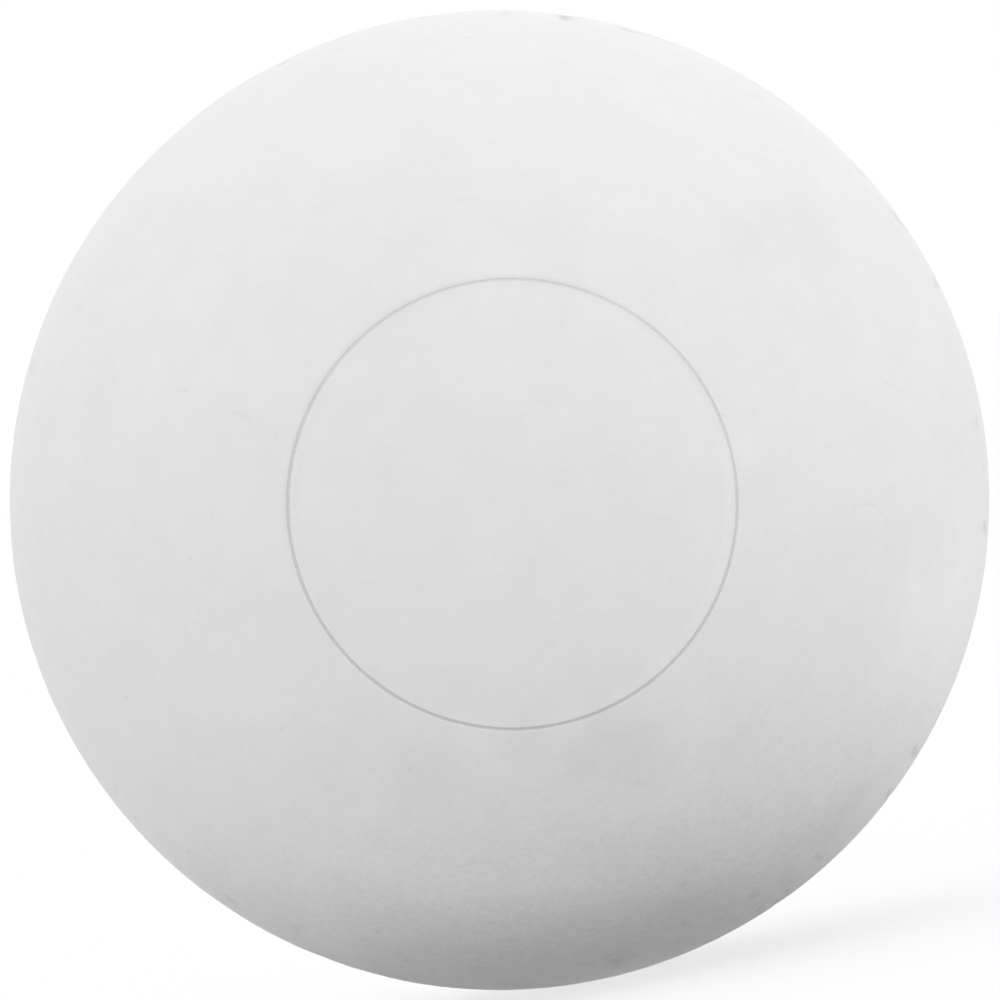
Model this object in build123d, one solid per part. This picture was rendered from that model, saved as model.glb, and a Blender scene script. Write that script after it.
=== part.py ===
from build123d import *
import math
import os

# Lacrosse ball: one solid moulding of white rubber, centred on the origin, +Z up.
# The round insert in the mould leaves a fine ring groove that faces -Y, with a slightly dished
# face inside it. The two halves of the mould leave a trimmed flash line round the ball, in the
# XZ plane.

# Driving dimensions in millimetres
BALL_DIAMETER = 63.5
RING_DIAMETER = 28.0
RING_WIDTH = 0.22
RING_WALL_HEIGHT = 0.03
RING_LIP_RADIUS = 0.03
FACE_DROP = 0.06
FACE_RIM_WIDTH = 1.0
FLASH_WIDTH = 0.9
FLASH_HEIGHT = 0.10

# Half-profile angles, in radians from the pole that the ring goes round
FRONT_POLE = 0.0
PARTING_PLANE = math.pi / 2
BACK_POLE = math.pi

ball_radius = BALL_DIAMETER / 2
face_reach = ball_radius - FACE_DROP
ring_angle = math.asin(RING_DIAMETER / BALL_DIAMETER)
root_reach = ball_radius - RING_LIP_RADIUS - RING_WALL_HEIGHT


def profile_point(reach, angle):
    """The point at a distance from the ball's centre, in the half-plane beside the Y axis."""
    return Vector(reach * math.sin(angle), -reach * math.cos(angle))


def profile_direction(angle):
    """The way along a round stretch of the profile, from front to back."""
    return Vector(math.cos(angle), math.sin(angle))


def round_arc(reach, start_angle, end_angle):
    """A stretch of the profile that is round about the ball's centre."""
    middle_angle = (start_angle + end_angle) / 2
    return ThreePointArc(
        profile_point(reach, start_angle),
        profile_point(reach, middle_angle),
        profile_point(reach, end_angle),
    )


def groove_point(reach, aside):
    """A point of the groove's section, beside the line from the ball's centre through the ring."""
    return profile_point(reach, ring_angle) + profile_direction(ring_angle) * aside


def groove_side(side):
    """One side of the groove: the angle where its lip meets the skin, and its wall's top and foot.

    The lip is a circle that touches the wall and, from inside, the skin.
    """
    wall_aside = side * RING_WIDTH / 2
    lip_aside = RING_WIDTH / 2 + RING_LIP_RADIUS
    lip_turn = math.asin(lip_aside / (ball_radius - RING_LIP_RADIUS))
    lip_reach = (ball_radius - RING_LIP_RADIUS) * math.cos(lip_turn)
    edge_angle = ring_angle + side * lip_turn
    wall_top = groove_point(lip_reach, wall_aside)
    wall_foot = groove_point(root_reach, wall_aside)
    return edge_angle, wall_top, wall_foot


def ring_groove():
    """The groove's lips, walls and round root, with the angles where its lips meet the skin."""
    inner_angle, inner_top, inner_foot = groove_side(-1)
    outer_angle, outer_top, outer_foot = groove_side(1)
    inner_edge = profile_point(ball_radius, inner_angle)
    outer_edge = profile_point(ball_radius, outer_angle)
    inner_lip = TangentArc(inner_edge, inner_top, tangent=profile_direction(inner_angle))
    inner_wall = Line(inner_top, inner_foot)
    root = TangentArc(inner_foot, outer_foot, tangent=inner_wall % 1)
    outer_wall = Line(outer_foot, outer_top)
    outer_lip = TangentArc(outer_top, outer_edge, tangent=outer_wall % 1)
    return [inner_lip, inner_wall, root, outer_wall, outer_lip], inner_angle, outer_angle


def dished_face(edge_angle):
    """The face inside the ring, which lies below the skin and curves up to it at the groove's lip."""
    rim_angle = edge_angle - FACE_RIM_WIDTH / ball_radius
    floor = round_arc(face_reach, FRONT_POLE, rim_angle)
    rim = TangentArc(
        profile_point(face_reach, rim_angle),
        profile_point(ball_radius, edge_angle),
        tangent=profile_direction(rim_angle),
    )
    return [floor, rim]


def flash_line():
    """The low bead left at the parting plane, with the angles of its two edges."""
    half_turn = math.asin(FLASH_WIDTH / BALL_DIAMETER)
    front_angle = PARTING_PLANE - half_turn
    back_angle = PARTING_PLANE + half_turn
    bead = ThreePointArc(
        profile_point(ball_radius, front_angle),
        profile_point(ball_radius + FLASH_HEIGHT, PARTING_PLANE),
        profile_point(ball_radius, back_angle),
    )
    return bead, front_angle, back_angle


def make_rubber_ball():
    """The whole ball, turned from one half-profile about the ring's axis."""
    groove, groove_inner, groove_outer = ring_groove()
    bead, bead_front, bead_back = flash_line()
    profile = make_face(
        [
            *dished_face(groove_inner),
            *groove,
            round_arc(ball_radius, groove_outer, bead_front),
            bead,
            round_arc(ball_radius, bead_back, BACK_POLE),
            Line(profile_point(ball_radius, BACK_POLE), profile_point(face_reach, FRONT_POLE)),
        ]
    )
    return revolve(profile, Axis.Y)


rubber_ball = make_rubber_ball()
rubber_ball.label = "rubber_ball"

os.makedirs("parts", exist_ok=True)
export_step(rubber_ball, "parts/rubber_ball.step")

print("circumference mm", round(math.pi * BALL_DIAMETER, 2))
print("volume cm3", round(rubber_ball.volume / 1000, 3))
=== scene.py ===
"""A white rubber lacrosse ball on a pale floor under soft studio light."""

import math
import random
from typing import NamedTuple

import bmesh
import bpy
import numpy as np
from mathutils import Matrix, Vector, noise


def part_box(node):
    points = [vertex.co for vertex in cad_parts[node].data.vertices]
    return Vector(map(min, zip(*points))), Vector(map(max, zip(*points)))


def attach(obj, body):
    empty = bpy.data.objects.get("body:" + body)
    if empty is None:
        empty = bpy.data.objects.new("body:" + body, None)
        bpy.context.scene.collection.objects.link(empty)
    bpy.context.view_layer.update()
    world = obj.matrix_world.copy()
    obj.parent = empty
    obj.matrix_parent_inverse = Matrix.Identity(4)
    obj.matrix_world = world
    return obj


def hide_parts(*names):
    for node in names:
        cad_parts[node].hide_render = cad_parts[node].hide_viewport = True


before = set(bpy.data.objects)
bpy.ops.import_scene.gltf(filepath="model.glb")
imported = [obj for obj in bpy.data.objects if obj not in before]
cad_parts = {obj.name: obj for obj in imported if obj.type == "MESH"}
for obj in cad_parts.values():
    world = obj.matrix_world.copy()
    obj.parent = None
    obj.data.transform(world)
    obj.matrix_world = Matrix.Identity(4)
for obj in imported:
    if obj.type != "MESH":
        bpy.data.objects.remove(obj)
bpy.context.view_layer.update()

MM = 0.001
ball_low, ball_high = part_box("rubber_ball")

# The ball, from its solid: round at the back, dished at the front, with a flash bead round the middle
BALL_RADIUS = ball_high.y
FACE_DROP = BALL_RADIUS + ball_low.y
FLASH_HEIGHT = ball_high.z - BALL_RADIUS

# Sizes that the solid also has
RING_RADIUS = 14.0 * MM
RING_WIDTH = 0.22 * MM
RING_WALL_HEIGHT = 0.03 * MM
RING_LIP_RADIUS = 0.03 * MM
RING_DEPTH = RING_LIP_RADIUS + RING_WALL_HEIGHT + RING_WIDTH / 2
FACE_RIM_WIDTH = 1.0 * MM
FLASH_WIDTH = 0.9 * MM

# Places on the skin, as distances outwards from the groove's middle
RING_ANGLE = math.asin(RING_RADIUS / BALL_RADIUS)
FRONT_POLE = -RING_ANGLE * BALL_RADIUS
GROOVE_REACH = RING_WIDTH / 2 + RING_LIP_RADIUS
PARTING_LINE = (math.pi / 2 - RING_ANGLE) * BALL_RADIUS
BACK_POLE = (math.pi - RING_ANGLE) * BALL_RADIUS

# The moulded skin isn't quite true: depth and length of its low waves
WAVE_DEPTH = 0.03 * MM
WAVE_LENGTH = 7.0 * MM

# The trimmed flash: share of the bead that is left, how much that changes, the least that is left, the
# lengths of its worn stretches and its nicks, and the share of light lost to soil on a whole crest
FLASH_LEFT = 0.6
FLASH_CHANGE = 0.16
FLASH_LEAST = 0.1
FLASH_WEAR_LENGTH = 3.5 * MM
FLASH_NICK_LENGTH = 0.7 * MM
FLASH_SOIL = 0.045

# Painted shade in the groove: share of light lost, the side of the ring where it is heaviest, in degrees
# clockwise from the top, and how much it changes from side to side, so much that it turns to painted light
# on the far side
GROOVE_SHADE = 0.065
GROOVE_SHADE_SIDE = 205
GROOVE_SHADE_CHANGE = 1.5

# Painted shade just outside the groove, on one side of the ring: share of light lost, width, side, and how
# far round it keeps its strength
OUTER_SHADE = 0.075
OUTER_SHADE_WIDTH = 0.36 * MM
OUTER_SHADE_SIDE = 334
OUTER_SHADE_SPREAD = 1.5

# Painted shade along the face's rim on one side, and painted light on the other: share of light lost, width,
# side, and how much paler the rim is all round
RIM_SHADE = 0.022
RIM_SHADE_WIDTH = 0.9 * MM
RIM_SHADE_SIDE = 262
RIM_PAINTED_PALER = 0.15

# Painted shade on the groove's inner side and painted light on its outer side, on one side of the ring:
# share of light lost, reach, side, and where round the ring it starts
INNER_SHADE = 0.07
INNER_SHADE_REACH = 1.5 * GROOVE_REACH
INNER_SHADE_SIDE = 232
INNER_SHADE_START = 0.5

# How closely the mesh is divided, on the skin, at the groove and at the flash line
SKIN_STEP = 0.50 * MM
BACK_STEP = 0.70 * MM
GROOVE_STEP = 0.05 * MM
GROOVE_GROWTH = 0.20
LIP_CUTS = 3
ROOT_CUTS = 8
FLASH_STEP = 0.13 * MM
FLASH_GROWTH = 0.25
FLASH_SEGMENT = SKIN_STEP / 2
FEWEST_SEGMENTS = 7
RING_SAMPLES = 20001

# How closely it is divided at the marks, and the area of a face that is small enough already
MARK_MARGIN = 0.35 * MM
NARROW_MARK = 0.45 * MM
NARROW_CUTS = 3
WIDE_CUTS = 1
SMALL_FACE = SKIN_STEP**2 / 4

# Least values that keep a division from failing
LEAST_SQUARE = 1e-12
LEAST_LENGTH = 1e-6

# The photograph's camera: image side in pixels, aim in degrees, how far the picture is turned, distance, and
# how far up in the picture the camera is moved
IMAGE_SIDE = 1000
CAMERA_AZIMUTH = -1.43
CAMERA_ELEVATION = 0.82
CAMERA_ROLL = 12.0
CAMERA_DISTANCE = 0.684
CAMERA_RAISE = 0.027 * MM

# Its lens, in millimetres, and the lens in pixels
SENSOR_WIDTH = 36.0
CAMERA_LENS = 379.3
FOCAL_PIXELS = CAMERA_LENS / SENSOR_WIDTH * IMAGE_SIDE

# Light levels, where 1 shows a colour about as it is written
WHITE = (1, 1, 1, 1)
SKY_LEVEL = 0.995
SHOWN_LEVEL = 1.0

# Soft lamps: turn from the front and height above the horizon in degrees, and level
LAMP_ANGLE = 40.0
LAMPS = {
    "right_softbox": (90, 3, 0.50),
    "back_softbox": (180, 55, 0.14),
}

# The floor in the picture: its size, its colour and how much of it is plain white
FLOOR_SIDE = 12.0
FLOOR_SHOWN = (0.95, 0.95, 0.95, 1)
FLOOR_WHITE = 0.7

# The floor's light on the ball: its bounce far from the contact and near it, its glow everywhere and at
# the contact, and how far each reaches
FLOOR_BOUNCE = 0.65
NEAR_BOUNCE = 0.44
NEAR_START = 15 * MM
NEAR_END = 40 * MM
FLOOR_GLOW = 0.045
CONTACT_GLOW = 0.20
CONTACT_REACH = 20 * MM

# The rubber: its darkest and lightest tones
DARK_TONE = (0.778, 0.778, 0.775)
LIGHT_TONE = (0.902, 0.902, 0.899)

# Its clouds, blotches and grain: size, fineness of the noise and share of the tone
NOISE_MIDDLE = 0.5
CLOUD_SIZE = 5.0 * MM
CLOUD_DETAIL = 2
CLOUD_SHARE = 0.40
BLOTCH_SIZE = 1.6 * MM
BLOTCH_DETAIL = 3
BLOTCH_SHARE = 0.35
GRAIN_SIZE = 0.30 * MM
GRAIN_DETAIL = 2
GRAIN_SHARE = 0.25
GRAIN_HEIGHT = 0.02 * MM

# The coarser grain low down, painted shading of the skin's grain where the light falls low, which starts
# below the middle and is strongest at the bottom
LOW_GRAIN = 0.42
LOW_GRAIN_SIZE = 0.50 * MM
LOW_GRAIN_DETAIL = 4
LOW_GRAIN_HARSHNESS = 0.9
LOW_GRAIN_START = -8.0 * MM

# Sheen
SMOOTHEST = 0.52
ROUGHEST = 0.72
SPECULAR_LEVEL = 0.35

# The band beside the parting line that was buffed when the flash was trimmed: reach, how softly and how
# unevenly it ends, and how much lighter and rougher it is
BUFF_REACH = 6.5 * MM
BUFF_FADE = 3.0 * MM
BUFF_UNEVEN = 4 * BUFF_FADE
BUFF_GAIN = 0.02
BUFF_ROUGHNESS = 0.08

# The fine lines in that band: size, stretch along the parting line, and height as a share of the grain's
BUFF_LINE_SIZE = 0.25 * MM
BUFF_LINE_DETAIL = 3
BUFF_LINE_STRETCH = 0.04
BUFF_LINE_HEIGHT = 0.6

# Specks on the skin: place in the image in pixels, radius in millimetres, share of light lost
SPECKS = [
    ((409, 769), 0.28, 0.08),
    ((190, 558), 0.22, 0.08),
    ((281, 730), 0.36, 0.07),
    ((296, 720), 0.20, 0.06),
    ((370, 771), 0.34, 0.06),
    ((785, 548), 0.26, 0.06),
    ((746, 552), 0.24, 0.05),
    ((767, 713), 0.32, 0.05),
    ((201, 392), 0.24, 0.06),
    ((184, 392), 0.24, 0.05),
    ((275, 437), 0.34, 0.04),
    ((754, 457), 0.22, 0.04),
    ((870, 357), 0.24, 0.05),
    ((864, 403), 0.22, 0.05),
    ((886, 546), 0.24, 0.05),
    ((969, 499), 0.26, 0.07),
    ((725, 127), 0.22, 0.05),
    ((805, 139), 0.34, 0.06),
    ((692, 154), 0.24, 0.04),
    ((652, 155), 0.28, 0.04),
    ((596, 124), 0.24, 0.05),
    ((565, 78), 0.22, 0.05),
    ((657, 80), 0.22, 0.05),
    ((468, 37), 0.40, 0.07),
    ((399, 108), 0.22, 0.04),
    ((383, 239), 0.24, 0.04),
    ((571, 230), 0.22, 0.04),
    ((127, 699), 0.26, 0.06),
    ((175, 770), 0.26, 0.05),
    ((378, 932), 0.36, 0.08),
    ((406, 961), 0.34, 0.08),
    ((434, 971), 0.40, 0.08),
    ((502, 957), 0.40, 0.11),
    ((559, 944), 0.36, 0.09),
    ((594, 924), 0.28, 0.08),
    ((809, 826), 0.40, 0.08),
    ((843, 811), 0.22, 0.08),
    ((836, 792), 0.32, 0.07),
]

# Scuffs: places along each in the image in pixels, half-width in millimetres, share of light lost
SCUFFS = [
    ([(852, 513), (856, 507), (865, 504), (875, 507), (882, 514)], 0.20, 0.035),
    ([(883, 381), (891, 385), (898, 391)], 0.18, 0.035),
    ([(455, 201), (468, 199), (480, 200)], 0.20, 0.04),
    ([(752, 95), (758, 97), (763, 99)], 0.20, 0.09),
    ([(230, 413), (240, 415), (249, 419)], 0.26, 0.03),
    ([(184, 476), (184, 484), (183, 493)], 0.14, -0.03),
]

# Nicks and smudges near the outline: place round it in degrees clockwise from the top of the image, how far
# inside it the two ends are in pixels, half-width in millimetres, share of light lost
LIMB_MARKS = [
    (0.6, 0.5, 4.0, 0.70, 0.08),
    (7.8, 0.0, 4.0, 0.80, 0.17),
    (9.2, 0.0, 2.0, 0.60, 0.08),
    (15.0, 0.0, 3.0, 0.90, 0.11),
    (16.8, 0.0, 2.5, 0.80, 0.07),
    (19.5, 0.0, 1.0, 1.60, 0.05),
    (24.5, 0.0, 1.0, 0.70, 0.06),
    (47.8, 0.0, 2.0, 0.80, 0.08),
    (51.6, 3.5, 6.0, 0.30, 0.06),
    (54.6, 0.0, 3.0, 1.30, 0.07),
    (63.5, 1.0, 5.0, 0.60, 0.09),
    (81.2, 6.0, 10.0, 0.60, 0.07),
    (86.2, 2.5, 5.5, 0.40, 0.05),
    (93.3, 2.0, 4.5, 0.55, 0.14),
    (121.3, 1.0, 6.5, 0.60, 0.12),
    (127.2, 0.0, 4.0, 0.55, 0.14),
    (138.4, 8.0, 13.5, 0.50, 0.17),
    (143.6, 7.0, 17.0, 1.40, 0.04),
    (144.0, 0.0, 5.0, 0.45, 0.12),
    (145.5, 0.0, 3.0, 0.80, 0.14),
    (147.3, 6.0, 20.0, 1.50, 0.05),
    (148.0, 1.0, 6.0, 0.45, 0.07),
    (152.3, 8.0, 24.0, 1.30, 0.035),
    (154.8, 0.0, 2.5, 0.50, 0.09),
    (156.3, 18.0, 27.0, 0.60, 0.07),
    (166.0, 8.0, 20.0, 1.60, 0.05),
    (166.2, 12.0, 15.5, 0.70, 0.13),
    (201.2, 0.0, 2.0, 1.20, 0.05),
    (205.0, 10.0, 19.0, 0.60, 0.09),
    (213.8, 1.5, 7.0, 0.90, 0.11),
    (221.5, 18.5, 21.5, 0.32, 0.09),
    (228.7, 4.0, 7.0, 0.32, 0.07),
    (233.0, 7.5, 10.0, 0.60, 0.05),
    (285.9, 1.5, 5.0, 0.65, 0.10),
    (294.3, 26.0, 28.5, 0.50, 0.04),
    (333.6, 0.0, 2.0, 0.90, 0.09),
    (340.4, 11.0, 15.5, 0.70, 0.07),
    (341.0, 0.0, 2.0, 0.90, 0.06),
]

# Darker and paler patches of the skin, partly uneven tone and partly painted shade and painted light near
# the outline: place in the image in pixels, radius in millimetres, share of light lost
TONE_AND_PAINTED_LIGHT_PATCHES = [
    # Painted light at the right edge
    ((960, 610), 12.0, -0.065),
    ((915, 625), 6.0, -0.035),
    ((530, 740), 3.2, 0.045),
    ((610, 745), 4.2, 0.055),
    ((650, 745), 3.5, 0.035),
    ((575, 772), 3.5, 0.040),
    ((430, 770), 4.5, 0.035),
    ((330, 772), 4.0, 0.022),
    ((740, 735), 4.0, 0.020),
    ((320, 850), 3.5, -0.045),
    ((480, 885), 5.0, -0.050),
    ((425, 880), 4.5, -0.035),
    ((370, 865), 3.5, -0.025),
    ((550, 888), 4.5, -0.050),
    ((605, 880), 3.5, -0.030),
    # Painted shade at the lower left edge, and painted light at the bottom edge
    ((245, 911), 10.0, 0.080),
    ((475, 976), 7.0, -0.060),
    ((690, 905), 4.5, 0.045),
    ((835, 818), 4.5, 0.055),
    ((815, 240), 6.0, 0.036),
    ((752, 235), 4.5, 0.030),
    ((830, 340), 4.0, 0.030),
    ((190, 300), 4.5, -0.035),
    ((350, 150), 5.0, -0.020),
    ((345, 365), 3.0, -0.025),
    ((510, 268), 3.0, -0.020),
    ((670, 655), 2.2, -0.030),
    ((740, 460), 2.5, -0.025),
    ((270, 600), 4.0, 0.020),
    ((390, 480), 4.0, 0.015),
]

# How uneven the edges of the patches are, and over what length
PATCH_UNEVEN = 0.25
PATCH_UNEVEN_LENGTH = 3 * MM

# Marks on the back, which no place in the image gives: how many there are of each kind, and the range of
# each measure, in millimetres, or as a share of light lost
MARK_SEED = 7
BACK_SPECKS = 60
BACK_SPECK_RADIUS = (0.2, 0.45)
BACK_SPECK_LOST = (0.04, 0.11)
BACK_SCUFFS = 9
BACK_SCUFF_BEND = (-0.3, 0.3)
BACK_SCUFF_REACH = (0.5, 1.3)
BACK_SCUFF_HALF_WIDTH = (0.14, 0.22)
BACK_SCUFF_LOST = (0.03, 0.07)
BACK_NICKS = 12
BACK_NICK_LENGTH = (0.6, 1.9)
BACK_NICK_HALF_WIDTH = (0.25, 0.4)
BACK_NICK_LOST = (0.10, 0.18)

# The points along a scuff on the back, as shares of its reach
SCUFF_POINTS = (-1, -0.5, 0, 0.5, 1)

# Marks of all kinds: how deep one is for its half-width and at most, and how ragged its edge is
MARK_DEPTH_SHARE = 0.07
DEEPEST_MARK = 0.035 * MM
MARK_RAGGED = 0.45
MARK_RAGGED_LENGTH = 0.4 * MM

# Smears: how far they waver and reach past the parting line, and how patchy they are
SMEAR_SEED = 7
SMEAR_WAVER = 0.25 * MM
SMEAR_WAVER_LENGTH = 1.6 * MM
SMEAR_PAST_LINE = 0.9 * MM
SMEAR_PATCHY = 1.3
SMEAR_PATCHY_LENGTH = 1.1 * MM
SMEAR_FAINTEST = 0.05
SMEAR_STRONGEST = 2


class Mark(NamedTuple):
    """A mark on the skin: the directions along it, half-width, share of light lost, and if it is a smear."""

    path: list
    half_width: float
    lost: float
    smeared: bool = False


class NodeBench:
    """Short ways to add and link the nodes of one shader tree."""

    def __init__(self, tree):
        self.tree = tree

    def feed(self, socket, value):
        """Links an output to a socket, or sets a plain number on it."""
        if isinstance(value, bpy.types.NodeSocket):
            self.tree.links.new(value, socket)
        else:
            socket.default_value = value

    def noise(self, coordinates, size, detail, roughness=0.5):
        """Smooth noise between 0 and 1 with features of a size."""
        node = self.tree.nodes.new("ShaderNodeTexNoise")
        node.inputs["Scale"].default_value = 1 / size
        node.inputs["Detail"].default_value = detail
        node.inputs["Roughness"].default_value = roughness
        self.feed(node.inputs["Vector"], coordinates)
        return node.outputs["Fac"]

    def math(self, operation, first, second=0.0):
        """The result of an operation on one or two numbers."""
        node = self.tree.nodes.new("ShaderNodeMath")
        node.operation = operation
        self.feed(node.inputs[0], first)
        self.feed(node.inputs[1], second)
        return node.outputs[0]

    def vector_math(self, operation, vector, socket, value):
        """The result of an operation on a vector, with a value on another of its sockets."""
        node = self.tree.nodes.new("ShaderNodeVectorMath")
        node.operation = operation
        self.feed(node.inputs[0], vector)
        self.feed(node.inputs[socket], value)
        return node.outputs["Vector"]

    def split(self, vector):
        """The X, Y and Z of a vector, by name."""
        node = self.tree.nodes.new("ShaderNodeSeparateXYZ")
        self.feed(node.inputs[0], vector)
        return node.outputs

    def blend(self, shares):
        """The sum of several outputs, each times its share."""
        total = 0.0
        for output, share in shares:
            total = self.math("ADD", self.math("MULTIPLY", output, share), total)
        return total

    def ramp(self, factor, first, second):
        """A colour from the first at 0 to the second at 1."""
        node = self.tree.nodes.new("ShaderNodeValToRGB")
        node.color_ramp.elements[0].color = (*first, 1)
        node.color_ramp.elements[1].color = (*second, 1)
        self.feed(node.inputs["Fac"], factor)
        return node.outputs["Color"]

    def fade(self, value, start, end):
        """1 at the start value, falling smoothly to 0 at the end value."""
        node = self.tree.nodes.new("ShaderNodeMapRange")
        node.interpolation_type = "SMOOTHSTEP"
        node.inputs["From Min"].default_value = start
        node.inputs["From Max"].default_value = end
        node.inputs["To Min"].default_value = 1
        node.inputs["To Max"].default_value = 0
        self.feed(node.inputs["Value"], value)
        return node.outputs["Result"]

    def coloured(self, kind, colour):
        """A new shader node of one plain colour."""
        node = self.tree.nodes.new(kind)
        node.inputs["Color"].default_value = colour
        return node

    def mix_shaders(self, share, first, second):
        """The first shader where the share is 0, and the second where it is 1."""
        node = self.tree.nodes.new("ShaderNodeMixShader")
        self.feed(node.inputs["Fac"], share)
        self.feed(node.inputs[1], first.outputs[0])
        self.feed(node.inputs[2], second.outputs[0])
        return node

    def add_shaders(self, first, second):
        """The light of two shaders together."""
        node = self.tree.nodes.new("ShaderNodeAddShader")
        self.feed(node.inputs[0], first.outputs[0])
        self.feed(node.inputs[1], second.outputs[0])
        return node

    def background_rays(self):
        """1 on rays that show the background: camera, glossy and transmission rays."""
        path = self.tree.nodes.new("ShaderNodeLightPath")
        seen = self.math("MAXIMUM", path.outputs["Is Camera Ray"], path.outputs["Is Glossy Ray"])
        return self.math("MAXIMUM", seen, path.outputs["Is Transmission Ray"])


def add_object(name, data):
    """A new object in the scene."""
    item = bpy.data.objects.new(name, data)
    bpy.context.scene.collection.objects.link(item)
    return item


def turn_object(item, quaternion):
    """Sets which way an object points."""
    item.rotation_mode = "QUATERNION"
    item.rotation_quaternion = quaternion


def outwards(turn, height):
    """The direction at a turn from the front and a height above the horizon, both in degrees."""
    azimuth = math.radians(turn)
    elevation = math.radians(height)
    return Vector(
        (
            math.sin(azimuth) * math.cos(elevation),
            -math.cos(azimuth) * math.cos(elevation),
            math.sin(elevation),
        )
    )


def camera_axes():
    """Unit vectors from the ball towards the camera, and right and up in the picture."""
    azimuth = math.radians(CAMERA_AZIMUTH)
    back = outwards(CAMERA_AZIMUTH, CAMERA_ELEVATION)
    level = Vector((math.cos(azimuth), math.sin(azimuth), 0))
    upright = back.cross(level)
    roll = math.radians(CAMERA_ROLL)
    right = level * math.cos(roll) - upright * math.sin(roll)
    return back, right, back.cross(right)


def camera_place():
    """Where the camera stands, from the ball's centre."""
    back, _, up = camera_axes()
    return back * CAMERA_DISTANCE + up * CAMERA_RAISE


def make_camera():
    """The photograph's camera."""
    back, right, up = camera_axes()
    data = bpy.data.cameras.new("photo_camera")
    data.sensor_width = SENSOR_WIDTH
    data.lens = CAMERA_LENS
    camera = add_object("photo_camera", data)
    camera.location = camera_place()
    turn_object(camera, Matrix((right, up, back)).transposed().to_quaternion())
    bpy.context.scene.camera = camera


def on_ball(pixel):
    """The direction from the ball's centre to the place on its skin that a pixel shows."""
    back, right, up = camera_axes()
    aside = pixel[0] - IMAGE_SIDE / 2
    above = IMAGE_SIDE / 2 - pixel[1]
    ray = (right * aside + up * above - back * FOCAL_PIXELS).normalized()
    start = camera_place()
    nearest = -start.dot(ray)
    miss = (start + ray * nearest).length
    inside = math.sqrt(max(BALL_RADIUS**2 - miss**2, 0))
    return (start + ray * (nearest - inside)).normalized()


def outline_pixel(clock, inset):
    """The pixel at an angle clockwise from the top of the ball's outline, some pixels inside it."""
    radius = FOCAL_PIXELS * math.tan(math.asin(BALL_RADIUS / CAMERA_DISTANCE)) - inset
    turn = math.radians(clock)
    return IMAGE_SIDE / 2 + radius * math.sin(turn), IMAGE_SIDE / 2 - radius * math.cos(turn)


def make_world():
    """An even white sky that lights the ball, and shows as plain white behind it."""
    world = bpy.data.worlds.new("white_studio")
    world.use_nodes = True
    tree = world.node_tree
    tree.nodes.clear()
    bench = NodeBench(tree)
    light = bench.coloured("ShaderNodeBackground", WHITE)
    light.inputs["Strength"].default_value = SKY_LEVEL
    shown = bench.coloured("ShaderNodeBackground", WHITE)
    shown.inputs["Strength"].default_value = SHOWN_LEVEL
    sky = bench.mix_shaders(bench.background_rays(), light, shown)
    output = tree.nodes.new("ShaderNodeOutputWorld")
    bench.feed(output.inputs["Surface"], sky.outputs[0])
    bpy.context.scene.world = world


def make_lamps():
    """Wide soft lamps, which don't fade across the floor."""
    for name, (turn, height, level) in LAMPS.items():
        data = bpy.data.lights.new(name, "SUN")
        data.energy = level
        data.angle = math.radians(LAMP_ANGLE)
        turn_object(add_object(name, data), outwards(turn, height).to_track_quat("Z", "Y"))


def floor_light(bench):
    """What the ball gets from the floor: less bounce beside the ball, and a glow at the contact."""
    tree = bench.tree
    place = bench.split(tree.nodes.new("ShaderNodeTexCoord").outputs["Object"])
    along_x = bench.math("MULTIPLY", place["X"], place["X"])
    along_y = bench.math("MULTIPLY", place["Y"], place["Y"])
    away = bench.math("SQRT", bench.math("ADD", along_x, along_y))
    near = bench.fade(away, NEAR_START, NEAR_END)
    contact = bench.fade(away, 0, CONTACT_REACH)
    bounce = tree.nodes.new("ShaderNodeBsdfDiffuse")
    held_back = bench.math("MULTIPLY", near, FLOOR_BOUNCE - NEAR_BOUNCE)
    bench.feed(bounce.inputs["Color"], bench.math("SUBTRACT", FLOOR_BOUNCE, held_back))
    glow = tree.nodes.new("ShaderNodeEmission")
    at_contact = bench.math("MULTIPLY", contact, CONTACT_GLOW)
    bench.feed(glow.inputs["Strength"], bench.math("ADD", at_contact, FLOOR_GLOW))
    return bench.add_shaders(bounce, glow)


def floor_material():
    """A pale floor, white to the camera away from the ball's shadow."""
    material = bpy.data.materials.new("pale_floor")
    material.use_nodes = True
    tree = material.node_tree
    tree.nodes.clear()
    bench = NodeBench(tree)
    shaded = bench.coloured("ShaderNodeBsdfDiffuse", FLOOR_SHOWN)
    white = bench.coloured("ShaderNodeEmission", WHITE)
    shown = bench.mix_shaders(FLOOR_WHITE, shaded, white)
    surface = bench.mix_shaders(bench.background_rays(), floor_light(bench), shown)
    output = tree.nodes.new("ShaderNodeOutputMaterial")
    bench.feed(output.inputs["Surface"], surface.outputs[0])
    return material


def make_floor():
    """A wide floor at the ball's lowest point."""
    half = FLOOR_SIDE / 2
    height = ball_low.z
    corners = [(-half, -half, height), (half, -half, height), (half, half, height), (-half, half, height)]
    mesh = bpy.data.meshes.new("floor")
    mesh.from_pydata(corners, [], [(0, 1, 2, 3)])
    mesh.materials.append(floor_material())
    floor = add_object("floor", mesh)


def arc_points(along, height, radius, start, end, cuts):
    """Points round an arc of the groove's section, from one angle to another in degrees."""
    turns = np.radians(np.linspace(start, end, cuts + 1))
    return [(along + radius * math.cos(turn), height + radius * math.sin(turn)) for turn in turns]


def groove_rings():
    """The groove from edge to edge: distance along the skin and height of each ring of the mesh."""
    half = RING_WIDTH / 2
    inner_lip = arc_points(-GROOVE_REACH, -RING_LIP_RADIUS, RING_LIP_RADIUS, 90, 0, LIP_CUTS)
    root = arc_points(0, half - RING_DEPTH, half, 180, 360, ROOT_CUTS)
    outer_lip = arc_points(GROOVE_REACH, -RING_LIP_RADIUS, RING_LIP_RADIUS, 180, 90, LIP_CUTS)
    return inner_lip + root + outer_lip


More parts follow.
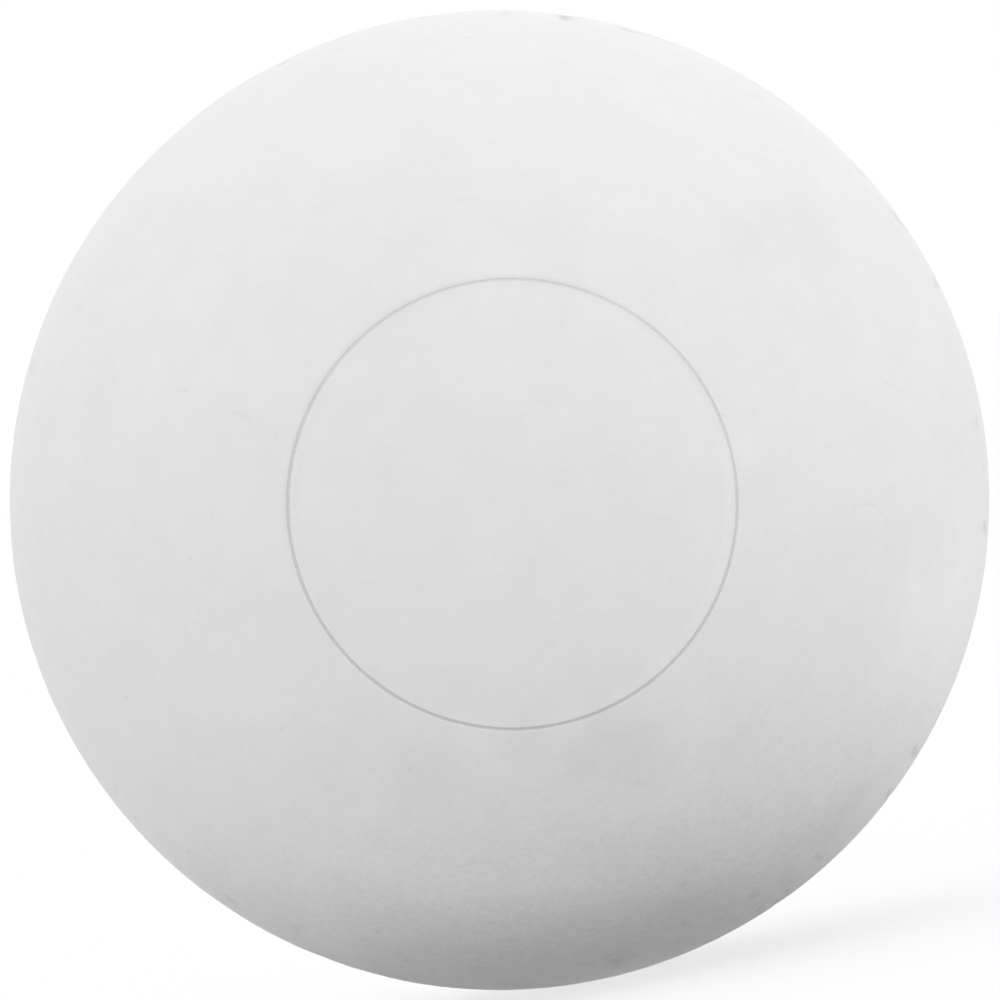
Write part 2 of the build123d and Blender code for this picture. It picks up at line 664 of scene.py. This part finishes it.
def skin_rings(start, end):
    """Rings of the mesh between two places on the skin, closer at the groove and the flash line."""
    along = np.linspace(start, end, RING_SAMPLES)
    from_groove = np.abs(along) - GROOVE_REACH
    from_flash = np.maximum(np.abs(along - PARTING_LINE) - FLASH_WIDTH / 2, 0)
    skin = np.where(along < PARTING_LINE, SKIN_STEP, BACK_STEP)
    groove = GROOVE_STEP + GROOVE_GROWTH * from_groove
    flash = FLASH_STEP + FLASH_GROWTH * from_flash
    step = np.minimum(np.minimum(skin, groove), flash)
    count_so_far = np.concatenate([[0], np.cumsum(np.diff(along) / step[1:])])
    ring_count = round(count_so_far[-1])
    wanted = np.linspace(0, count_so_far[-1], ring_count + 1)[1:-1]
    return [(place, 0.0) for place in np.interp(wanted, count_so_far, along)]


def segment_counts(rings):
    """How many segments each ring has: FEWEST_SEGMENTS doubled until they are short enough.

    A ring has at most twice as many as the rings beside it.
    """
    counts = []
    for along, _ in rings:
        longest = FLASH_SEGMENT if abs(along - PARTING_LINE) < FLASH_WIDTH else SKIN_STEP
        around = 2 * math.pi * BALL_RADIUS * math.sin(RING_ANGLE + along / BALL_RADIUS)
        count = FEWEST_SEGMENTS
        while around / count > longest:
            count *= 2
        counts.append(count)
    for i in range(1, len(counts)):
        counts[i] = min(counts[i], counts[i - 1] * 2)
    for i in reversed(range(len(counts) - 1)):
        counts[i] = min(counts[i], counts[i + 1] * 2)
    return counts


def stitch(first, second):
    """Faces between two rings of vertices, where one may have twice as many as the other."""
    if len(first) == len(second):
        n = len(first)
        return [(first[i], second[i], second[(i + 1) % n], first[(i + 1) % n]) for i in range(n)]
    coarse, fine = sorted((first, second), key=len)
    faces = []
    for i, here in enumerate(coarse):
        after = coarse[(i + 1) % len(coarse)]
        left, middle = fine[2 * i], fine[2 * i + 1]
        right = fine[(2 * i + 2) % len(fine)]
        faces += [(here, left, middle), (here, middle, after), (after, middle, right)]
    return faces


def round_mesh():
    """A bmesh of rings about the Y axis, from the front to the back: a sphere with the groove in it."""
    bm = bmesh.new()
    rings = skin_rings(FRONT_POLE, -GROOVE_REACH) + groove_rings() + skin_rings(GROOVE_REACH, BACK_POLE)
    loops = []
    for (along, height), count in zip(rings, segment_counts(rings)):
        angle = RING_ANGLE + along / BALL_RADIUS
        across = (BALL_RADIUS + height) * math.sin(angle)
        forward = (BALL_RADIUS + height) * math.cos(angle)
        loop = []
        for i in range(count):
            turn = 2 * math.pi * i / count
            loop.append(bm.verts.new((across * math.cos(turn), -forward, across * math.sin(turn))))
        loops.append(loop)
    for first, second in zip(loops, loops[1:]):
        for face in stitch(first, second):
            bm.faces.new(face)
    for ring, side in ((loops[0], -1), (loops[-1], 1)):
        pole = bm.verts.new((0, side * BALL_RADIUS, 0))
        for i, vert in enumerate(ring):
            bm.faces.new((pole, vert, ring[(i + 1) % len(ring)]))
    bmesh.ops.recalc_face_normals(bm, faces=bm.faces)
    return bm


def noise_at(directions, length):
    """Smooth noise between -1 and 1 on the skin, with features of about a length."""
    return np.array([noise.noise(Vector(d) * (BALL_RADIUS / length)) for d in directions])


def waver(directions, reach, length):
    """The directions moved about at random by up to a reach, over about a length."""
    noise.seed_set(SMEAR_SEED)
    moves = np.array([noise.noise_vector(Vector(d) * (BALL_RADIUS / length)) for d in directions])
    return directions + moves * (reach / BALL_RADIUS)


def smooth(share):
    """A share from 0 to 1, eased at both ends."""
    return share * share * (3 - 2 * share)


def face_height(along):
    """Height of the dished face inside the ring, which curves up to the skin at the groove's lip."""
    inwards = -GROOVE_REACH - along
    up_the_rim = np.clip(1 - inwards / FACE_RIM_WIDTH, 0, 1)
    return np.where(inwards > 0, FACE_DROP * (up_the_rim**2 - 1), 0)


def flash_height(directions):
    """Height of the trimmed flash: a low bead, more worn away in some places than others."""
    across = np.abs(np.arcsin(np.clip(directions[:, 1], -1, 1))) * BALL_RADIUS
    near = across < FLASH_WIDTH / 2
    height = np.zeros(len(directions))
    bead = 1 - (across[near] / (FLASH_WIDTH / 2)) ** 2
    worn = noise_at(directions[near], FLASH_WEAR_LENGTH) + noise_at(directions[near], FLASH_NICK_LENGTH)
    height[near] = FLASH_HEIGHT * bead * np.clip(FLASH_LEFT + FLASH_CHANGE * worn, FLASH_LEAST, 1)
    return height


def behind_parting_line(direction, distance):
    """The place straight behind a direction, at a distance past the parting line."""
    line = Vector((direction.x, 0, direction.z)).normalized()
    return (line + Vector((0, distance / BALL_RADIUS, 0))).normalized()


def photo_marks():
    """The marks that have a place in the image."""
    marks = [Mark([on_ball(pixel)], radius * MM, lost) for pixel, radius, lost in SPECKS]
    for pixels, half_width, lost in SCUFFS:
        marks.append(Mark([on_ball(pixel) for pixel in pixels], half_width * MM, lost))
    for clock, near, far, half_width, lost in LIMB_MARKS:
        path = [on_ball(outline_pixel(clock, far)), on_ball(outline_pixel(clock, near))]
        if near == 0:
            path.append(behind_parting_line(path[-1], SMEAR_PAST_LINE))
        marks.append(Mark(path, half_width * MM, lost, smeared=True))
    return marks


def somewhere_behind(draw):
    """A random direction on the back half of the ball."""
    height = draw.uniform(-1, 1)
    turn = draw.uniform(0, math.pi)
    flat = math.sqrt(1 - height**2)
    return Vector((flat * math.cos(turn), flat * math.sin(turn), height))


def back_speck(draw):
    """A small dark spot."""
    place = somewhere_behind(draw)
    return Mark([place], draw.uniform(*BACK_SPECK_RADIUS) * MM, draw.uniform(*BACK_SPECK_LOST))


def back_scuff(draw):
    """A short bent scratch."""
    place = somewhere_behind(draw)
    heading = place.cross(somewhere_behind(draw)).normalized()
    bend = place.cross(heading) * draw.uniform(*BACK_SCUFF_BEND)
    reach = draw.uniform(*BACK_SCUFF_REACH) * MM / BALL_RADIUS
    path = [(place + (heading * t + bend * t * t) * reach).normalized() for t in SCUFF_POINTS]
    return Mark(path, draw.uniform(*BACK_SCUFF_HALF_WIDTH) * MM, draw.uniform(*BACK_SCUFF_LOST))


def back_nick(draw):
    """A smear from the parting line backwards."""
    place = somewhere_behind(draw)
    length = draw.uniform(*BACK_NICK_LENGTH) * MM
    path = [behind_parting_line(place, 0), behind_parting_line(place, length)]
    half_width = draw.uniform(*BACK_NICK_HALF_WIDTH) * MM
    return Mark(path, half_width, draw.uniform(*BACK_NICK_LOST), smeared=True)


def back_marks():
    """Marks of the same kinds, scattered over the back."""
    draw = random.Random(MARK_SEED)
    marks = []
    for make_mark, count in ((back_speck, BACK_SPECKS), (back_scuff, BACK_SCUFFS), (back_nick, BACK_NICKS)):
        marks += [make_mark(draw) for _ in range(count)]
    return marks


def distance_to_path(directions, path):
    """How far each place on the skin is from a path over it."""
    nearest = np.full(len(directions), np.inf)
    for start, end in zip(path, path[1:] or path):
        origin = np.array(start)
        step = np.array(end) - origin
        share = (directions - origin) @ step / max(step @ step, LEAST_SQUARE)
        foot = origin + np.clip(share, 0, 1)[:, None] * step
        nearest = np.minimum(nearest, np.linalg.norm(directions - foot, axis=1))
    return nearest * BALL_RADIUS


def divide_at_marks(bm, marks):
    """Divides the mesh more closely round each mark, and closest round the narrow ones."""
    for narrow, cuts in ((True, NARROW_CUTS), (False, WIDE_CUTS)):
        bm.faces.ensure_lookup_table()
        centres = np.array([face.calc_center_median().normalized() for face in bm.faces])
        chosen = np.zeros(len(centres), bool)
        for mark in marks:
            if (mark.half_width < NARROW_MARK) == narrow:
                chosen |= distance_to_path(centres, mark.path) < mark.half_width + MARK_MARGIN
        near = [bm.faces[i] for i in np.flatnonzero(chosen)]
        edges = dict.fromkeys(edge for face in near if face.calc_area() > SMALL_FACE for edge in face.edges)
        bmesh.ops.subdivide_edges(bm, edges=list(edges), cuts=cuts, use_grid_fill=True)


def mark_fields(directions, marks):
    """Depth and share of light lost at each place, over all marks."""
    depth = np.zeros(len(directions))
    lost = np.zeros(len(directions))
    ragged = 1 + MARK_RAGGED * noise_at(directions, MARK_RAGGED_LENGTH)
    patchy = 1 + SMEAR_PATCHY * noise_at(directions, SMEAR_PATCHY_LENGTH)
    patchy = np.clip(patchy, SMEAR_FAINTEST, SMEAR_STRONGEST)
    wavering = waver(directions, SMEAR_WAVER, SMEAR_WAVER_LENGTH)
    for mark in marks:
        places = wavering if mark.smeared else directions
        away = distance_to_path(places, mark.path) * ragged
        cover = smooth(np.clip(1 - away / mark.half_width, 0, 1))
        if mark.smeared:
            cover *= patchy
        depth = np.maximum(depth, cover * min(mark.half_width * MARK_DEPTH_SHARE, DEEPEST_MARK))
        lost += cover * mark.lost
    return depth, lost


def tone_and_painted_light(directions):
    """Light lost in the skin's darker patches, or gained in its paler ones, partly uneven tone and partly
    painted shade and painted light.
    """
    lost = np.zeros(len(directions))
    uneven = 1 + PATCH_UNEVEN * noise_at(directions, PATCH_UNEVEN_LENGTH)
    for pixel, radius, patch_lost in TONE_AND_PAINTED_LIGHT_PATCHES:
        away = distance_to_path(directions, [on_ball(pixel)]) * uneven
        lost += smooth(np.clip(1 - away / (radius * MM), 0, 1)) * patch_lost
    return lost


def towards(directions, degrees):
    """1 on the side of the ring at an angle clockwise from the top, -1 on the other side."""
    turn = math.radians(degrees)
    sideways = directions[:, 0] * math.sin(turn) + directions[:, 2] * math.cos(turn)
    return sideways / np.maximum(np.hypot(directions[:, 0], directions[:, 2]), LEAST_LENGTH)


def painted_ring_shade(directions, along, groove):
    """Painted shade, with some painted light, in the groove, on its inner side, outside it and along the
    face's rim.
    """
    heavier = 1 + GROOVE_SHADE_CHANGE * towards(directions, GROOVE_SHADE_SIDE)
    lost = -GROOVE_SHADE * heavier * groove / RING_DEPTH

    past_edge = (along - RING_WIDTH / 2) / OUTER_SHADE_WIDTH
    outside = np.where(past_edge > 0, np.clip(1 - past_edge, 0, 1), 0)
    lost += OUTER_SHADE * outside * np.clip(OUTER_SHADE_SPREAD * towards(directions, OUTER_SHADE_SIDE), 0, 1)

    across_rim = np.clip((-GROOVE_REACH - along) / RIM_SHADE_WIDTH, 0, 1)
    on_rim = np.sin(math.pi * across_rim) ** 2
    lost += RIM_SHADE * on_rim * (towards(directions, RIM_SHADE_SIDE) - RIM_PAINTED_PALER)

    inner_less_outer = -np.sin(math.pi * np.clip(along / INNER_SHADE_REACH, -1, 1))
    past_start = (towards(directions, INNER_SHADE_SIDE) - INNER_SHADE_START) / (1 - INNER_SHADE_START)
    lost += INNER_SHADE * inner_less_outer * np.clip(past_start, 0, 1)
    return lost


def shape_skin(mesh, marks):
    """Moves each vertex to its height on the skin, and keeps the light lost there, to dirt and to painted
    shade and light, as a mesh attribute.
    """
    places = np.empty(len(mesh.vertices) * 3)
    mesh.vertices.foreach_get("co", places)
    places = places.reshape(-1, 3)
    reach = np.linalg.norm(places, axis=1)
    directions = places / reach[:, None]
    along = (np.arccos(np.clip(-directions[:, 1], -1, 1)) - RING_ANGLE) * BALL_RADIUS
    groove = np.where(np.abs(along) < GROOVE_REACH, reach - BALL_RADIUS, 0)
    flash = flash_height(directions)
    depth, lost = mark_fields(directions, marks)
    lost += painted_ring_shade(directions, along, groove) + tone_and_painted_light(directions)
    lost += FLASH_SOIL * flash / FLASH_HEIGHT
    height = groove + face_height(along) + flash - depth
    height -= WAVE_DEPTH * (1 + noise_at(directions, WAVE_LENGTH)) / 2
    places = directions * (BALL_RADIUS + height)[:, None]
    mesh.vertices.foreach_set("co", places.ravel())
    dirt_and_painted_shade = mesh.attributes.new("dirt_and_painted_shade", "FLOAT", "POINT")
    dirt_and_painted_shade.data.foreach_set("value", lost)


def buffed_share(bench, coordinates, clouds):
    """How buffed the skin is: most at the parting line, with an uneven edge."""
    from_line = bench.math("ABSOLUTE", bench.split(coordinates)["Y"])
    uneven = bench.math("MULTIPLY", bench.math("SUBTRACT", clouds, NOISE_MIDDLE), BUFF_UNEVEN)
    return bench.fade(bench.math("ADD", from_line, uneven), BUFF_REACH - BUFF_FADE, BUFF_REACH + BUFF_FADE)


def low_grain(bench, coordinates):
    """Lighter and darker grains on the underside, about 0: painted shading of the grain."""
    share = bench.fade(bench.split(coordinates)["Z"], -BALL_RADIUS, LOW_GRAIN_START)
    grain = bench.noise(coordinates, LOW_GRAIN_SIZE, LOW_GRAIN_DETAIL, LOW_GRAIN_HARSHNESS)
    about_0 = bench.math("SUBTRACT", grain, NOISE_MIDDLE)
    return bench.math("MULTIPLY", bench.math("MULTIPLY", about_0, share), LOW_GRAIN)


def rubber_material():
    """Matte white rubber: cloudy tone, fine grain, uneven sheen, a buffed band, soil in the marks, and
    painted shade and light at the ring and in patches.
    """
    material = bpy.data.materials.new("white_rubber")
    material.use_nodes = True
    tree = material.node_tree
    shader = tree.nodes["Principled BSDF"]
    shader.inputs["Specular IOR Level"].default_value = SPECULAR_LEVEL
    bench = NodeBench(tree)
    coordinates = tree.nodes.new("ShaderNodeTexCoord").outputs["Object"]
    clouds = bench.noise(coordinates, CLOUD_SIZE, CLOUD_DETAIL)
    blotches = bench.noise(coordinates, BLOTCH_SIZE, BLOTCH_DETAIL)
    grain = bench.noise(coordinates, GRAIN_SIZE, GRAIN_DETAIL)
    tone = bench.blend([(clouds, CLOUD_SHARE), (blotches, BLOTCH_SHARE), (grain, GRAIN_SHARE)])
    colour = bench.ramp(tone, DARK_TONE, LIGHT_TONE)

    buffed = buffed_share(bench, coordinates, clouds)
    stretched = bench.vector_math("MULTIPLY", coordinates, 1, (BUFF_LINE_STRETCH, 1, BUFF_LINE_STRETCH))
    lines = bench.math("MULTIPLY", bench.noise(stretched, BUFF_LINE_SIZE, BUFF_LINE_DETAIL), buffed)

    # Light lost to dirt in the marks, and painted shade and painted light at the ring and in the patches
    dirt_and_painted_shade = tree.nodes.new("ShaderNodeAttribute")
    dirt_and_painted_shade.attribute_name = "dirt_and_painted_shade"
    kept = bench.math("SUBTRACT", 1.0, dirt_and_painted_shade.outputs["Fac"])
    level = bench.math("ADD", kept, bench.math("MULTIPLY", buffed, BUFF_GAIN))
    level = bench.math("ADD", level, low_grain(bench, coordinates))
    bench.feed(shader.inputs["Base Color"], bench.vector_math("SCALE", colour, "Scale", level))

    sheen = bench.blend([(blotches, ROUGHEST - SMOOTHEST), (buffed, BUFF_ROUGHNESS)])
    bench.feed(shader.inputs["Roughness"], bench.math("ADD", sheen, SMOOTHEST))

    bump = tree.nodes.new("ShaderNodeBump")
    bump.inputs["Distance"].default_value = GRAIN_HEIGHT
    bench.feed(bump.inputs["Height"], bench.blend([(grain, 1.0), (lines, BUFF_LINE_HEIGHT)]))
    bench.feed(shader.inputs["Normal"], bump.outputs["Normal"])
    return material


def make_ball():
    """The ball's skin, in place of its plain solid."""
    marks = photo_marks() + back_marks()
    bm = round_mesh()
    divide_at_marks(bm, marks)
    mesh = bpy.data.meshes.new("rubber_ball_skin")
    bm.to_mesh(mesh)
    bm.free()
    shape_skin(mesh, marks)
    mesh.polygons.foreach_set("use_smooth", np.ones(len(mesh.polygons), bool))
    mesh.update()
    mesh.materials.append(rubber_material())
    ball = add_object("rubber_ball_skin", mesh)
    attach(ball, "root")
    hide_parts("rubber_ball")


bpy.context.scene.view_settings.view_transform = "Standard"
make_world()
make_lamps()
make_floor()
make_ball()
make_camera()

bpy.context.view_layer.update()
